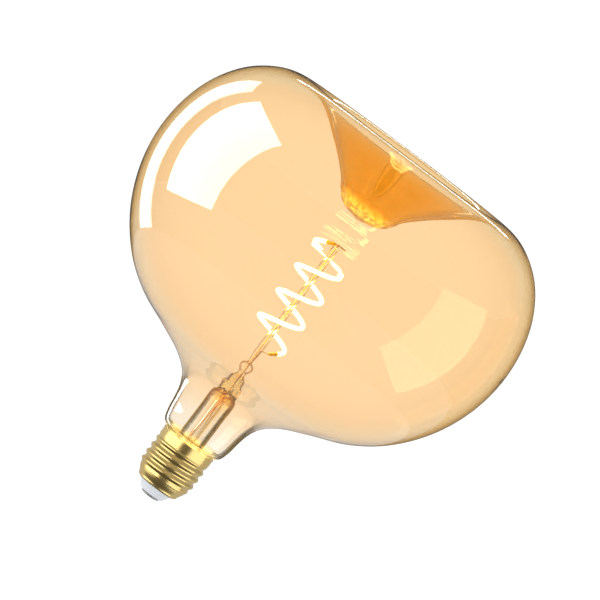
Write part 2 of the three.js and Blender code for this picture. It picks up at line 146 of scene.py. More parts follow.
def tube(name, path, radius, sides=14, end_rows=3, dome=1.0):
    """Round bar along a path in metres, with domed ends. radius is one number, or one per point."""
    path = np.array(path, float)
    radii = np.full(len(path), radius, float) if np.isscalar(radius) else np.array(radius, float)
    tangent = np.gradient(path, axis=0)
    tangent /= np.linalg.norm(tangent, axis=1)[:, None]
    side = np.cross(tangent[0], (0.3, 0.5, 0.81))
    stations = []
    for i, (point, along, r) in enumerate(zip(path, tangent, radii)):
        side = side - along * np.dot(side, along)
        side /= np.linalg.norm(side)
        stations.append((point, side.copy(), np.cross(along, side), r))
    start, finish = [], []
    for k in range(1, end_rows + 1):
        angle = math.pi / 2 * k / (end_rows + 1)
        _, u, v, r = stations[0]
        out = r * dome * math.cos(angle)
        start.append((path[0] - tangent[0] * out, u, v, r * math.sin(angle)))
        _, u, v, r = stations[-1]
        out = r * dome * math.cos(angle)
        finish.insert(0, (path[-1] + tangent[-1] * out, u, v, r * math.sin(angle)))
    vertices, faces = [], []
    rings = start + stations + finish
    for centre, u, v, r in rings:
        for j in range(sides):
            angle = TAU * j / sides
            vertices.append(centre + r * (math.cos(angle) * u + math.sin(angle) * v))
    for i in range(len(rings) - 1):
        for j in range(sides):
            k = (j + 1) % sides
            a, b = i * sides, (i + 1) * sides
            faces.append((a + j, a + k, b + k, b + j))
    first, last = len(vertices), len(vertices) + 1
    vertices.append(path[0] - tangent[0] * radii[0] * dome)
    vertices.append(path[-1] + tangent[-1] * radii[-1] * dome)
    base = (len(rings) - 1) * sides
    for j in range(sides):
        k = (j + 1) % sides
        faces.append((first, k, j))
        faces.append((last, base + j, base + k))
    return new_object(name, vertices, faces)


def smoothstep(low, high, value):
    """0 at low, 1 at high, smooth between them. low may be the larger."""
    t = min(1.0, max(0.0, (value - low) / (high - low)))
    return t * t * (3 - 2 * t)


# ---- material helpers ----


class Look:
    """One node material, built up in a few calls."""

    def __init__(self, name):
        self.material = bpy.data.materials.new(name)
        self.material.use_nodes = True
        self.tree = self.material.node_tree
        self.tree.nodes.clear()
        self.output = self.add("ShaderNodeOutputMaterial")
        self.shader = self.add("ShaderNodeBsdfPrincipled")
        self.link(self.shader.outputs[0], self.output.inputs["Surface"])
        self.place = self.add("ShaderNodeTexCoord").outputs["Object"]

    def add(self, kind, **settings):
        node = self.tree.nodes.new(kind)
        for key, value in settings.items():
            setattr(node, key, value)
        return node

    def link(self, source, target):
        self.tree.links.new(source, target)

    def set(self, **values):
        """Fixed values on the shader's own sockets, with underscores for spaces."""
        for key, value in values.items():
            self.shader.inputs[key.replace("_", " ")].default_value = value

    def noise(self, scale, detail=3.0, stretch=(1, 1, 1), distortion=0.0):
        mapping = self.add("ShaderNodeMapping")
        mapping.inputs["Scale"].default_value = stretch
        self.link(self.place, mapping.inputs["Vector"])
        node = self.add("ShaderNodeTexNoise")
        node.inputs["Scale"].default_value = scale
        node.inputs["Detail"].default_value = detail
        node.inputs["Distortion"].default_value = distortion
        self.link(mapping.outputs[0], node.inputs["Vector"])
        return node.outputs["Fac"]

    def spread(self, source, low, high, from_low=0.3, from_high=0.7, kind="LINEAR"):
        node = self.add("ShaderNodeMapRange", interpolation_type=kind)
        self.link(source, node.inputs["Value"])
        ends = {"From Min": from_low, "From Max": from_high, "To Min": low, "To Max": high}
        for key, value in ends.items():
            node.inputs[key].default_value = value
        return node.outputs["Result"]

    def blend(self, factor, first, second):
        node = self.add("ShaderNodeMix", data_type="RGBA")
        self.link(factor, node.inputs["Factor"])
        for socket, value in ((node.inputs[6], first), (node.inputs[7], second)):
            if isinstance(value, bpy.types.NodeSocket):
                self.link(value, socket)
            else:
                socket.default_value = (*value, 1)
        return node.outputs[2]

    def height(self):
        split = self.add("ShaderNodeSeparateXYZ")
        self.link(self.place, split.inputs[0])
        return split.outputs["Z"]

    def below(self, low, high):
        """1 under the height low, 0 over the height high."""
        return self.spread(self.height(), 1, 0, low, high, "SMOOTHSTEP")

    def limb(self, start, full):
        """0 where the glass faces the eye, 1 where it is seen edge-on.
        start and full are the values of Layer Weight's facing at which it leaves 0 and reaches 1."""
        facing = self.add("ShaderNodeLayerWeight")
        facing.inputs["Blend"].default_value = 0.5
        return self.spread(facing.outputs["Facing"], 0, 1, start, full, "SMOOTHSTEP")

    def in_crater(self):
        """1 on the crater's wall, 0 elsewhere, with a soft edge towards the rim."""
        flat = self.add("ShaderNodeVectorMath", operation="MULTIPLY")
        self.link(self.place, flat.inputs[0])
        flat.inputs[1].default_value = (1, 1, 0)
        length = self.add("ShaderNodeVectorMath", operation="LENGTH")
        self.link(flat.outputs[0], length.inputs[0])
        inside = self.spread(length.outputs["Value"], 1, 0, *CRATER_EDGE, "SMOOTHSTEP")
        high = self.spread(self.height(), 0, 1, *CRATER_BOTTOM)
        return self.times(inside, high)

    def combine(self, operation, first, second):
        node = self.add("ShaderNodeMath", operation=operation)
        self.link(first, node.inputs[0])
        self.link(second, node.inputs[1])
        return node.outputs[0]

    def times(self, first, second):
        return self.combine("MULTIPLY", first, second)

    def bump(self, source, distance, strength=1.0, after=None):
        node = self.add("ShaderNodeBump")
        node.inputs["Strength"].default_value = strength
        node.inputs["Distance"].default_value = distance
        self.link(source, node.inputs["Height"])
        if after:
            self.link(after, node.inputs["Normal"])
        self.link(node.outputs[0], self.shader.inputs["Normal"])
        return node.outputs[0]

    def into(self, socket, source):
        self.link(source, self.shader.inputs[socket])

    def clear_to_lamps(self, tint):
        """Lets the lamps' light through glass, tinted, without having to trace caustics."""
        path = self.add("ShaderNodeLightPath")
        through = self.add("ShaderNodeBsdfTransparent")
        if isinstance(tint, bpy.types.NodeSocket):
            self.link(tint, through.inputs["Color"])
        else:
            through.inputs["Color"].default_value = (*tint, 1)
        mix = self.add("ShaderNodeMixShader")
        self.link(path.outputs["Is Shadow Ray"], mix.inputs[0])
        self.link(self.shader.outputs[0], mix.inputs[1])
        self.link(through.outputs[0], mix.inputs[2])
        self.link(mix.outputs[0], self.output.inputs["Surface"])


def dress(obj, look):
    obj.data.materials.clear()
    obj.data.materials.append(look.material)


def piece(obj, look, slot_name, *nodes):
    """A new visual piece: its material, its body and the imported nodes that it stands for."""
    dress(obj, look)
    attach(obj, "root")
    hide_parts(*nodes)
    return obj


# ---- amber envelope ----
# outlines as (radius, z) in millimetres, from the neck's foot up and over into the crater
NECK_OUTLINE = [
    (10.9, 21.6), (10.9, 26.2), (12.1, 28.9), (14.9, 31.1), (16.4, 35.6), (17.3, 41.5), (18.5, 46.8),
    (21.5, 52.2),
]
GLOBE_OUTLINE = [
    (28.2, 57.6), (40.5, 63.4), (55.8, 70.1), (69.2, 80), (81.2, 94.9), (89, 112.5), (92, 131),
    (90.3, 148.5), (85, 163), (75.8, 175.3), (63, 183.5), (51.5, 185.5),
]
CRATER_OUTLINE = [(43.5, 183.3), (30, 173.8), (16.5, 161.5), (9.5, 153.1), (0, 150.5)]
CURVE_STEPS = 7
LINED_STEPS = 48
GLASS_WALL = 1.0
DRAW_LINE_DEPTH = 0.004
DRAW_LINE_PITCH = 2.0
DRAW_LINE_LOW = 127
DRAW_LINE_HIGH = 146
DRAW_LINE_FADE = 2
CRATER_FLOOR_R = 10.5
CRATER_FLOOR_EXTRA = 2.4
RIPPLE_R = 20
RIPPLE_Z = 148.5
RIPPLE_FADE = (164.5, 155)
# glass colours. The dark edge colours are painted shade where the glass is seen edge-on, standing in for
# the dim surroundings refracted there; on the amber they also stand in part for the longer path through
# the tinted glass. The mouth's colour is a painted glow.
AMBER = (0.985, 0.812, 0.593)
AMBER_SIDE = (1.0, 0.95, 0.80)
AMBER_EDGE_SHADE = (0.62, 0.38, 0.14)
CRATER_AMBER = (0.965, 0.655, 0.04)
CRATER_EDGE_SHADE = (0.55, 0.26, 0.02)
FOOT_EDGE_SHADE = (0.16, 0.05, 0.004)
NECK_CLEAR = (0.955, 0.945, 0.91)
NECK_EDGE_SHADE = (0.07, 0.065, 0.045)
MOUTH_PAINTED_GLOW = (0.98, 0.80, 0.36)
# Layer Weight facing where each edge colour starts and is full
SIDE_RANGE = (0.55, 0.76)
LIMB_RANGE = (0.84, 0.94)
CRATER_RANGE = (0.60, 0.88)
FLOOR_RANGE = (0.45, 0.80)
NECK_RANGE = (0.565, 0.64)
UNLIT_RANGE = (0.60, 0.85)
# places in metres: radius or height where one look gives way to the next
CRATER_EDGE = (0.030, 0.048)
CRATER_BOTTOM = (0.1470, 0.1485)
CRATER_FOOT = (0.1535, 0.1580)
GLOW_TOP = (0.1545, 0.1592)
AMBER_FADE = (0.030, 0.062)
NECK_TOP = (0.046, 0.062)
MOUTH_TOP = (0.0290, 0.0325)
MOUTH_GLOW_TOP = (0.0292, 0.0316)
NECK_AMBER = 0.25
# the painted glow of the crater's floor and of the neck's mouth: emission that stands in for the
# filament's light caught there
PAINTED_GLOW_COLOUR = (1.0, 0.76, 0.30, 1)
PAINTED_GLOW_STRENGTH = 0.46
MOUTH_STRENGTH = 0.65
FACET_SCALE = 330


def envelope():
    outline = NECK_OUTLINE + GLOBE_OUTLINE + CRATER_OUTLINE
    steps = [CURVE_STEPS] * (len(outline) - 1)
    steps[outline.index((89, 112.5))] = LINED_STEPS
    steps[outline.index((92, 131))] = LINED_STEPS
    outer = smooth_curve(outline, steps)
    along = np.gradient(outer, axis=0)
    along /= np.linalg.norm(along, axis=1)[:, None]
    outward = np.stack([along[:, 1], -along[:, 0]], axis=1)
    # faint draw lines round the globe's widest part, the same in both faces of the wall
    height = outer[:, 1]
    in_crater = np.arange(len(outer)) > np.argmax(outer[:, 1])
    lined = np.clip((height - DRAW_LINE_LOW) / DRAW_LINE_FADE, 0, 1)
    lined *= np.clip((DRAW_LINE_HIGH - height) / DRAW_LINE_FADE, 0, 1)
    lined[in_crater] = 0
    depth = DRAW_LINE_DEPTH * lined * (1 + np.sin(TAU * height / DRAW_LINE_PITCH))
    outer -= outward * depth[:, None]
    inner = outer - GLASS_WALL * outward
    inner[0] = (outer[0][0] - GLASS_WALL, outer[0][1])
    inner[-1] = (0, outer[-1][1] - GLASS_WALL)
    inner[:, 0] = np.maximum(inner[:, 0], 0)
    # the crater's floor is thicker than the wall
    thick = in_crater & (outer[:, 0] < CRATER_FLOOR_R)
    from_axis = outer[thick, 0] / CRATER_FLOOR_R
    outer[thick, 1] += CRATER_FLOOR_EXTRA * np.cos(from_axis * math.pi / 2) ** 2
    outer[:, 0] = np.minimum(outer[:, 0], glass_high.x / MM)
    outer[:, 1] = np.minimum(outer[:, 1], glass_high.z / MM)
    rows = [tuple(p) for p in inner[::-1]] + [tuple(p) for p in outer]

    def gathered(angle, radius, z):
        """Ripples that the drawn glass keeps at the bottom of the crater."""
        if radius > RIPPLE_R * MM or z < RIPPLE_Z * MM:
            return 1
        near = smoothstep(*RIPPLE_FADE, z / MM)
        ripple = 0.020 * math.sin(11 * angle + 700 * z) + 0.014 * math.sin(17 * angle - 1100 * z)
        return 1 + near * ripple

    return turned("envelope_glass", rows, 224, shape=gathered)


def amber_look():
    look = Look("amber_glass")
    look.set(Roughness=0.0, IOR=1.5, Transmission_Weight=1.0)
    in_crater = look.in_crater()
    # painted shade: the crater's wall darkens where it is seen edge-on, and much darker at its foot
    crater = look.blend(look.limb(*CRATER_RANGE), CRATER_AMBER, CRATER_EDGE_SHADE)
    crater_foot_shade = look.times(look.limb(*FLOOR_RANGE), look.below(*CRATER_FOOT))
    crater = look.blend(crater_foot_shade, crater, FOOT_EDGE_SHADE)
    side = look.blend(look.limb(*SIDE_RANGE), AMBER, AMBER_SIDE)
    body = look.blend(in_crater, side, crater)
    # painted shade, in part the longer path through the tinted glass: the amber turns brown where the
    # glass is seen edge-on
    body = look.blend(look.limb(*LIMB_RANGE), body, AMBER_EDGE_SHADE)
    # painted glow: the neck's glass is tinted yellow below the mouth's top
    neck = look.blend(look.below(*MOUTH_TOP), NECK_CLEAR, MOUTH_PAINTED_GLOW)
    fade = look.spread(look.height(), NECK_AMBER, 1, *AMBER_FADE, "SMOOTHSTEP")
    tint = look.blend(fade, neck, body)
    # painted shade: the clear neck's walls turn dark grey where they are seen edge-on, standing in for
    # the dim surroundings refracted there
    neck_edge_shade = look.times(look.limb(*NECK_RANGE), look.below(*NECK_TOP))
    look.into("Base Color", look.blend(neck_edge_shade, tint, NECK_EDGE_SHADE))
    look.bump(look.noise(28, 1.5), 0.00012, 0.5)
    # painted glow: the floor of the crater gives off light in a pattern of facets, standing in for the
    # filament's light caught in them
    facets = look.add("ShaderNodeTexVoronoi", feature="DISTANCE_TO_EDGE")
    facets.inputs["Scale"].default_value = FACET_SCALE
    look.link(look.place, facets.inputs["Vector"])
    painted_sparkle = look.spread(facets.outputs["Distance"], 1.0, 0.12, 0.0, 0.30)
    facing_eye = look.spread(look.limb(*UNLIT_RANGE), 1, 0, 0, 1)
    on_floor = look.times(in_crater, look.below(*GLOW_TOP))
    glow = look.times(look.times(on_floor, facing_eye), painted_sparkle)
    glow = look.times(glow, look.spread(look.noise(140, 2), 0.0, PAINTED_GLOW_STRENGTH))
    # and the glass in the mouth of the neck has a painted glow too, in patches
    painted_glow_patches = look.spread(look.noise(220, 3), 0.1, MOUTH_STRENGTH)
    mouth = look.times(look.below(*MOUTH_GLOW_TOP), painted_glow_patches)
    look.into("Emission Strength", look.combine("ADD", glow, mouth))
    look.set(Emission_Color=PAINTED_GLOW_COLOUR)
    look.clear_to_lamps(look.blend(fade, NECK_CLEAR, AMBER))
    look.material.cycles.emission_sampling = "NONE"
    return look


piece(envelope(), amber_look(), "amber_glass", "glass_envelope")

# ---- stem ----
# One glass body: flare, press, neck, bead and rod.
# The rows are (half width, half depth, z) in millimetres.
STEM_OUTSIDE = [
    (10.7, 10.7, 20.4), (10.7, 10.7, 21.3), (8.9, 8.9, 22), (7.4, 7.4, 24), (6.6, 6.6, 26.6),
    (6.3, 6.3, 30), (6.25, 6.25, 38), (6.2, 6.2, 46), (6.3, 6.3, 53.2), (5.9, 5.7, 55.2),
    (4.9, 4.2, 56.6), (4.6, 2.6, 57.9), (4.7, 2.2, 59.5), (4.6, 2.1, 61.4), (3.6, 2.1, 62.6),
    (2.5, 2.2, 63.5), (1.9, 1.9, 65), (2.0, 2.0, 67), (2.7, 2.7, 68), (3.2, 3.2, 69.5), (2.7, 2.7, 71),
    (1.3, 1.3, 71.9), (0.95, 0.95, 73), (1.25, 1.25, 75), (1.45, 1.45, 77.5), (1.45, 1.45, 100),
    (1.45, 1.45, 125), (1.4, 1.4, 134.4), (0.9, 0.9, 134.85), (0, 0, 134.9),
]
STEM_INSIDE = [
    (0, 0, 56.6), (2.6, 2.0, 56.4), (4.4, 3.6, 55.4), (5.2, 5.0, 53.6), (5.4, 5.4, 50), (5.35, 5.35, 40),
    (5.4, 5.4, 30), (5.7, 5.7, 26.2), (6.6, 6.6, 23.5), (8.3, 8.3, 21.2), (9.8, 9.8, 20.4),
]
# heights in metres between which the glass turns warm and dented, and clear again. The warm tint is a
# painted highlight, standing in for the gold glints of light in the press.
PRESS_FOOT = (0.048, 0.057)
PRESS_TOP = (0.0625, 0.070)


def stem():
    outside = smooth_curve(STEM_OUTSIDE, 4)
    inside = smooth_curve(STEM_INSIDE, 4)
    rows = [(max(a, 0) * MM, max(b, 0) * MM, z * MM) for a, b, z in np.vstack([inside, outside])]

    def pinched(angle, radius, z):
        """Dents that the pinching jaws leave around the press."""
        near = math.exp(-(((z - 0.060) / 0.0035) ** 2))
        return 1 + near * (0.07 * math.sin(5 * angle + 900 * z) + 0.05 * math.sin(9 * angle - 1500 * z))

    return loft("stem_glass", rows, 72, shape=pinched)


def clear_look():
    look = Look("stem_glass")
    look.set(Roughness=0.0, IOR=1.5, Transmission_Weight=1.0)
    warm = look.spread(look.height(), 0, 1, *PRESS_FOOT, "SMOOTHSTEP")
    at_press = look.times(warm, look.below(*PRESS_TOP))
    # painted highlight: the press is tinted gold
    middle = look.blend(at_press, (0.985, 0.96, 0.90), (1.0, 0.84, 0.42))
    # painted shade: the walls darken where they are seen edge-on, standing in for the dim surroundings
    # refracted there; brown at the press
    edge = look.blend(warm, (0.09, 0.075, 0.04), (0.34, 0.14, 0.02))
    look.into("Base Color", look.blend(look.limb(0.24, 0.40), middle, edge))
    dents = look.add("ShaderNodeTexVoronoi")
    dents.inputs["Scale"].default_value = 420
    look.link(look.place, dents.inputs["Vector"])
    pressed = look.times(at_press, dents.outputs["Distance"])
    fine = look.bump(look.noise(160, 2), 0.00008, 0.5)
    look.bump(pressed, 0.0006, 0.8, fine)
    look.clear_to_lamps((0.95, 0.95, 0.93))
    return look


clear = clear_look()
piece(stem(), clear, "stem_glass", "stem_flare", "stem_press", "stem_button", "support_rod")

EXHAUST_OUTLINE = [
    (0, 26.4), (0.8, 26.7), (1.15, 27.7), (1.15, 40), (1.15, 53.6), (1.5, 54.6), (1.9, 54.4),
    (2.1, 53), (2.1, 40), (2.1, 27), (1.7, 25.5), (0.9, 24.7), (0, 24.5),
]
piece(turned("exhaust_glass", smooth_curve(EXHAUST_OUTLINE, 3), 48), clear, "stem_glass", "exhaust_tube")

# ---- filament ----
HELIX_R = 9.2
HELIX_PITCH = 13.4
HELIX_Z = 84.7
STRAND_R = 0.9
STRAND_START = -38
STRAND_END = 1319
FERRULE_SPAN = 25
TOP_TURN = 1260


def helix(start, end, steps):
    points = []
    for degrees in np.linspace(start, end, steps):
        angle = math.radians(degrees)
        droop = 1.1 * (degrees / 50) ** 2 if degrees < 0 else 0
        lift = 0.9 * (max(0, degrees - TOP_TURN) / 75) ** 2
        z = HELIX_Z + HELIX_PITCH * degrees / 360 - droop + lift
        points.append((HELIX_R * math.cos(angle) * MM, HELIX_R * math.sin(angle) * MM, z * MM))
    return points


def phosphor_look():
    look = Look("phosphor")
    grain = look.noise(900, 3)
    look.into("Base Color", look.blend(look.spread(grain, 0, 1), (1.0, 0.80, 0.42), (1.0, 0.88, 0.60)))
    look.into("Roughness", look.spread(grain, 0.45, 0.65))
    look.bump(grain, 0.00005)
    lit = look.blend(look.spread(look.noise(260, 2), 0, 1), (1.0, 0.72, 0.30), (1.0, 0.78, 0.38))
    look.into("Emission Color", lit)
    look.set(Emission_Strength=8.0)
    return look


strand = tube("filament_coating", helix(STRAND_START, STRAND_END, 460), STRAND_R * MM, 20)
piece(strand, phosphor_look(), "phosphor", "filament_coating_a", "filament_coating_b")


def ferrule_look():
    look = Look("ferrule")
    grain = look.noise(700, 3)
    look.into("Base Color", look.blend(look.spread(grain, 0, 1), (0.90, 0.50, 0.03), (1.0, 0.66, 0.08)))
    look.into("Roughness", look.spread(grain, 0.25, 0.42))
    # painted glow: the ferrules give off a faint orange light of their own
    look.set(Metallic=0.35, Emission_Color=(1.0, 0.52, 0.02, 1), Emission_Strength=0.35)
    look.bump(grain, 0.00006)
    return look


def ferrule(name, start, end, taper_first, node):
    path = helix(start, end, 26)
    t = np.linspace(0, 1, 26)
    if not taper_first:
        t = 1 - t
    radius = 0.45 + 0.42 * np.clip(t / 0.35, 0, 1) ** 0.6 + 0.05 * np.sin(t * 9)
    piece(tube(name, path, radius * MM, 18), ferrules, "ferrule", node)


ferrules = ferrule_look()
ferrule("lower_ferrule", STRAND_START - FERRULE_SPAN, STRAND_START - 1, True, "filament_ferrule_lower")
ferrule("upper_ferrule", STRAND_END + 1, STRAND_END + FERRULE_SPAN, False, "filament_ferrule_upper")

# ---- wires ----


def wire_look(name, dark, light, rough):
    look = Look(name)
    grain = look.noise(500, 4, (1, 1, 0.3))
    look.into("Base Color", look.blend(look.spread(grain, 0, 1), dark, light))
    look.into("Roughness", look.spread(look.noise(1400, 2), *rough))
    look.set(Metallic=1.0)
    look.bump(grain, 0.00003)
    return look


nickel = wire_look("nickel_wire", (0.30, 0.22, 0.14), (0.46, 0.36, 0.26), (0.25, 0.45))
gilt = wire_look("gilt_wire", (0.85, 0.55, 0.16), (0.95, 0.68, 0.26), (0.25, 0.4))
copper = wire_look("copper", (0.55, 0.28, 0.12), (0.80, 0.46, 0.24), (0.22, 0.42))


def wire(name, points, look, slot_name, *nodes, radius=0.25, per_span=8):
    path = smooth_curve(np.array(points, float) * MM, per_span)
    return piece(tube(name, path, radius * MM, 12), look, slot_name, *nodes)


lower_start = np.array(helix(STRAND_START - FERRULE_SPAN, STRAND_START, 2)[0]) / MM
upper_end = np.array(helix(STRAND_END, STRAND_END + FERRULE_SPAN, 2)[1]) / MM
rod_top = rod_high.z / MM
wire("lower_lead", [
    (0.3, -1.3, 58), (0.3, -1.3, 63), (0.3, -1.3, 66), (0.3, -1.35, 70), (0.35, -1.4, 72.4),
    (0.7, -1.75, 75), (0.9, -1.95, 78.8), (1.4, -3.2, 79.5),
    (lower_start[0] - 0.3, lower_start[1] + 0.4, lower_start[2] - 0.1),
], nickel, "nickel_wire", "lower_lead_wire", "seal_wire_lower")
wire("upper_lead", [(0, 0, 58), (0, 0, 80), (0, 0, 110), (0, 0, rod_top + 1.3)], gilt, "nickel_wire",
     "upper_lead_wire", "seal_wire_upper", radius=0.2)
wire("top_cross", [
    (upper_end[0] + 0.2, upper_end[1] + 0.1, upper_end[2]), (0.5, -5.5, rod_top + 0.75),
    (0.1, -1.4, rod_top + 0.8), (0.7, -0.5, rod_top + 0.8), (3.8, 1.4, rod_top + 0.6),
], nickel, "nickel_wire", "top_cross_wire", radius=0.3)
wire("copper_lead_front", [
    (0.3, -1.3, 57.6), (0.2, -1.9, 55.4), (0, -2.9, 52), (-0.6, -3.1, 45), (-1.4, -3.3, 35),
    (-2.2, -3.9, 27), (-3.8, -4.6, 22), (-6, -4.2, 17),
], copper, "copper", "copper_lead_lower", radius=0.22)
wire("copper_lead_back", [
    (0, 0, 57.6), (0, 0.9, 55.6), (0, 2.9, 52), (-0.2, 3.2, 45), (-0.9, 3.6, 32), (-2, 4, 27),
    (-3.8, 4.6, 22), (-6, 4.2, 17),
], copper, "copper", "copper_lead_upper", radius=0.22)
wire("antenna", [
    (2, 4.4, 18.9), (1.9, 4.3, 22), (1.3, 3.9, 28), (1.1, 3.4, 34), (1.1, 3.3, 46),
], copper, "copper", "antenna_wire", radius=0.16)

# ---- screw shell ----
THREAD_PITCH = 3.629
THREAD_DEPTH = 1.04
THREAD_PHASE = 2.94
THREAD_START = (9.2, 12.2)
THREAD_FINISH = (23.4, 24.8)
SHEET = 0.3
SHELL_OUTLINE = [
    (8.75, 5.12), (9.6, 5.5), (10.1, 6.6), (11.3, 8.8), (12.1, 10.9), (12.45, 13), (12.5, 16),
    (12.5, 20), (12.5, 24.2), (12.72, 25.1), (12.75, 27), (12.78, 28.3), (12.9, 28.8),
]


def screw_shell():
    segments = 240
    middle = smooth_curve(SHELL_OUTLINE, 12)
    top = shell_high.z / MM
    rows = [(r + SHEET / 2, min(z, top)) for r, z in middle]
    rows += [(12.9, top), (12.8, top)]
    rows += [(r - SHEET / 2, z) for r, z in middle[::-1]]
    vertices, faces = [], []
    for r, z in rows:
        fade = smoothstep(*THREAD_START, z) * (1 - smoothstep(*THREAD_FINISH, z))
        for j in range(segments):
            angle = TAU * j / segments
            wave = math.cos(TAU * (z - THREAD_PHASE) / THREAD_PITCH - angle)
            radius = min((r + THREAD_DEPTH / 2 * fade * wave) * MM, shell_high.x)
            vertices.append((radius * math.cos(angle), radius * math.sin(angle), z * MM))
    count = len(rows)
    for i in range(count):
        a, b = i * segments, ((i + 1) % count) * segments
        for j in range(segments):
            k = (j + 1) % segments
            faces.append((a + j, a + k, b + k, b + j))
    return new_object("brass_shell", vertices, faces)


def brass_look():
    look = Look("brass")
    cloud = look.noise(55, 4)
    drawn = look.noise(60, 2, (1, 1, 6))
    colour = look.blend(look.spread(cloud, 0, 1), (0.80, 0.58, 0.20), (0.89, 0.69, 0.30))
    look.into("Base Color", colour)
    look.into("Roughness", look.spread(drawn, 0.22, 0.32))
    look.set(Metallic=1.0)
    look.bump(drawn, 0.00002, 0.6)
    return look


piece(screw_shell(), brass_look(), "brass", "screw_shell")

# ---- insulator and end contact ----


def glazed_look():
    look = Look("insulator")
    cloud = look.noise(120, 4)
    look.into("Base Color", look.blend(look.spread(cloud, 0, 1), (0.57, 0.60, 0.64), (0.60, 0.63, 0.67)))
    look.into("Roughness", look.spread(cloud, 0.22, 0.34))
    look.set(Coat_Weight=0.3)
    look.bump(look.noise(60, 1), 0.00001)
    return look


INSULATOR_OUTLINE = [
    (0.8, 7.2), (0.8, 4), (0.8, 1.3), (1.2, 1.1), (4.7, 1.1), (5.3, 1.25), (6.1, 2.2), (7.3, 4.0),
    (7.9, 4.5), (8.3, 5.0), (8.5, 5.7), (9, 6.3), (9, 7.1), (8.6, 7.2),
]
insulator = turned("glazed_insulator", smooth_curve(INSULATOR_OUTLINE, 4), 96, loop=True)
piece(insulator, glazed_look(), "insulator", "cap_insulator")


def solder_look():
    look = Look("contact_metal")
    cloud = look.noise(420, 5, distortion=0.6)
    look.into("Base Color", look.blend(look.spread(cloud, 0, 1), (0.34, 0.33, 0.32), (0.62, 0.61, 0.59)))
    look.into("Roughness", look.spread(cloud, 0.28, 0.55))
    look.set(Metallic=1.0)
    look.bump(cloud, 0.00012)
    return look


CONTACT_OUTLINE = [
    (0, 0), (1.3, 0), (2.6, 0), (3.3, 0.05), (3.9, 0.18), (4.25, 0.38), (4.4, 0.6), (4.35, 0.8),
    (4.15, 0.9), (2, 0.9), (0, 0.9),
]
piece(turned("contact_disc", CONTACT_OUTLINE, 72), solder_look(), "contact_metal", "end_contact")

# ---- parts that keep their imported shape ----


def plain_look(name, dark, light, rough, scale, bump=0.00005, metallic=0.0):
    look = Look(name)
    grain = look.noise(scale, 4)
    look.into("Base Color", look.blend(look.spread(grain, 0, 1), dark, light))
    look.into("Roughness", look.spread(look.noise(scale * 2.3, 3), *rough))
    look.set(Metallic=metallic)
    look.bump(grain, bump)
    return look


# name: (dark, light, roughness range, grain scale, further settings)
PLAIN_LOOKS = {
    "circuit_board": ((0.02, 0.10, 0.04), (0.04, 0.17, 0.07), (0.25, 0.45), 350, {}),
    "moulded_epoxy": ((0.012, 0.012, 0.013), (0.03, 0.03, 0.032), (0.45, 0.7), 900, {}),
    "filament_strip": ((0.55, 0.32, 0.14), (0.70, 0.44, 0.22), (0.3, 0.5), 800, {}),
    "cement": ((0.62, 0.56, 0.44), (0.78, 0.72, 0.60), (0.7, 0.95), 500, {"bump": 0.0002}),
    "capacitor_sleeve": ((0.02, 0.03, 0.06), (0.03, 0.05, 0.09), (0.2, 0.4), 300, {}),
    "ferrite": ((0.02, 0.02, 0.02), (0.05, 0.05, 0.05), (0.5, 0.8), 900, {"bump": 0.0001}),
    "winding": (
        (0.45, 0.16, 0.05), (0.72, 0.32, 0.12), (0.2, 0.4), 1200, {"bump": 0.0002, "metallic": 1.0},
    ),
    "resistor_coat": ((0.10, 0.24, 0.32), (0.16, 0.33, 0.42), (0.25, 0.5), 600, {}),
    "shield_can": ((0.50, 0.51, 0.52), (0.66, 0.67, 0.68), (0.25, 0.45), 500, {"metallic": 1.0}),
}
plain = {}
for look_name, (dark, light, rough, scale, more) in PLAIN_LOOKS.items():
    plain[look_name] = plain_look(look_name, dark, light, rough, scale, **more)
KEPT = {
    "filament_strip": plain["filament_strip"],
    "basing_cement": plain["cement"],
    "driver_board": plain["circuit_board"],
    "radio_board": plain["circuit_board"],
    "reservoir_capacitor": plain["capacitor_sleeve"],
    "inductor_core": plain["ferrite"],
    "inductor_winding": plain["winding"],
    "bridge_rectifier": plain["moulded_epoxy"],
    "driver_chip": plain["moulded_epoxy"],
    "fusible_resistor": plain["resistor_coat"],
    "radio_shield": plain["shield_can"],
    "contact_wire": copper,
    "shell_wire": copper,
}
for node_name, node_look in KEPT.items():
    dress(frame["nodes"][node_name], node_look)

# ---- floor, lamps, sky ----
FLOOR_Z = -0.30
FLOOR_R = 1.4
FLOOR_GLOW = 0.86
floor = loft("floor", [(r, r, FLOOR_Z) for r in (0, FLOOR_R / 2, FLOOR_R)], 96)
floor_look = Look("floor")
floor_cloud = floor_look.spread(floor_look.noise(6, 4), 0, 1)
floor_look.into("Base Color", floor_look.blend(floor_cloud, (0.86, 0.86, 0.86), (0.88, 0.88, 0.88)))
floor_look.into("Roughness", floor_look.spread(floor_look.noise(40, 3), 0.7, 0.9))
floor_look.set(Emission_Color=(1, 1, 1, 1), Emission_Strength=FLOOR_GLOW)
floor_look.material.cycles.emission_sampling = "NONE"
floor.data.materials.append(floor_look.material)
floor.visible_glossy = False
floor.visible_shadow = False

BULB_MIDDLE = Vector((0, 0, 0.13))


def softbox(name, place, size, radiance, at=BULB_MIDDLE):
    data = bpy.data.lights.new(name, "AREA")
    data.shape = "RECTANGLE"
    data.size, data.size_y = size
    data.energy = radiance * math.pi * size[0] * size[1]
    lamp = bpy.data.objects.new(name, data)
    place = Vector(place)
    lamp.location = place
    lamp.rotation_euler = (at - place).to_track_quat("-Z", "Y").to_euler()
    lamp.visible_camera = False
    lamp.visible_transmission = False
    bpy.context.scene.collection.objects.link(lamp)
    return lamp


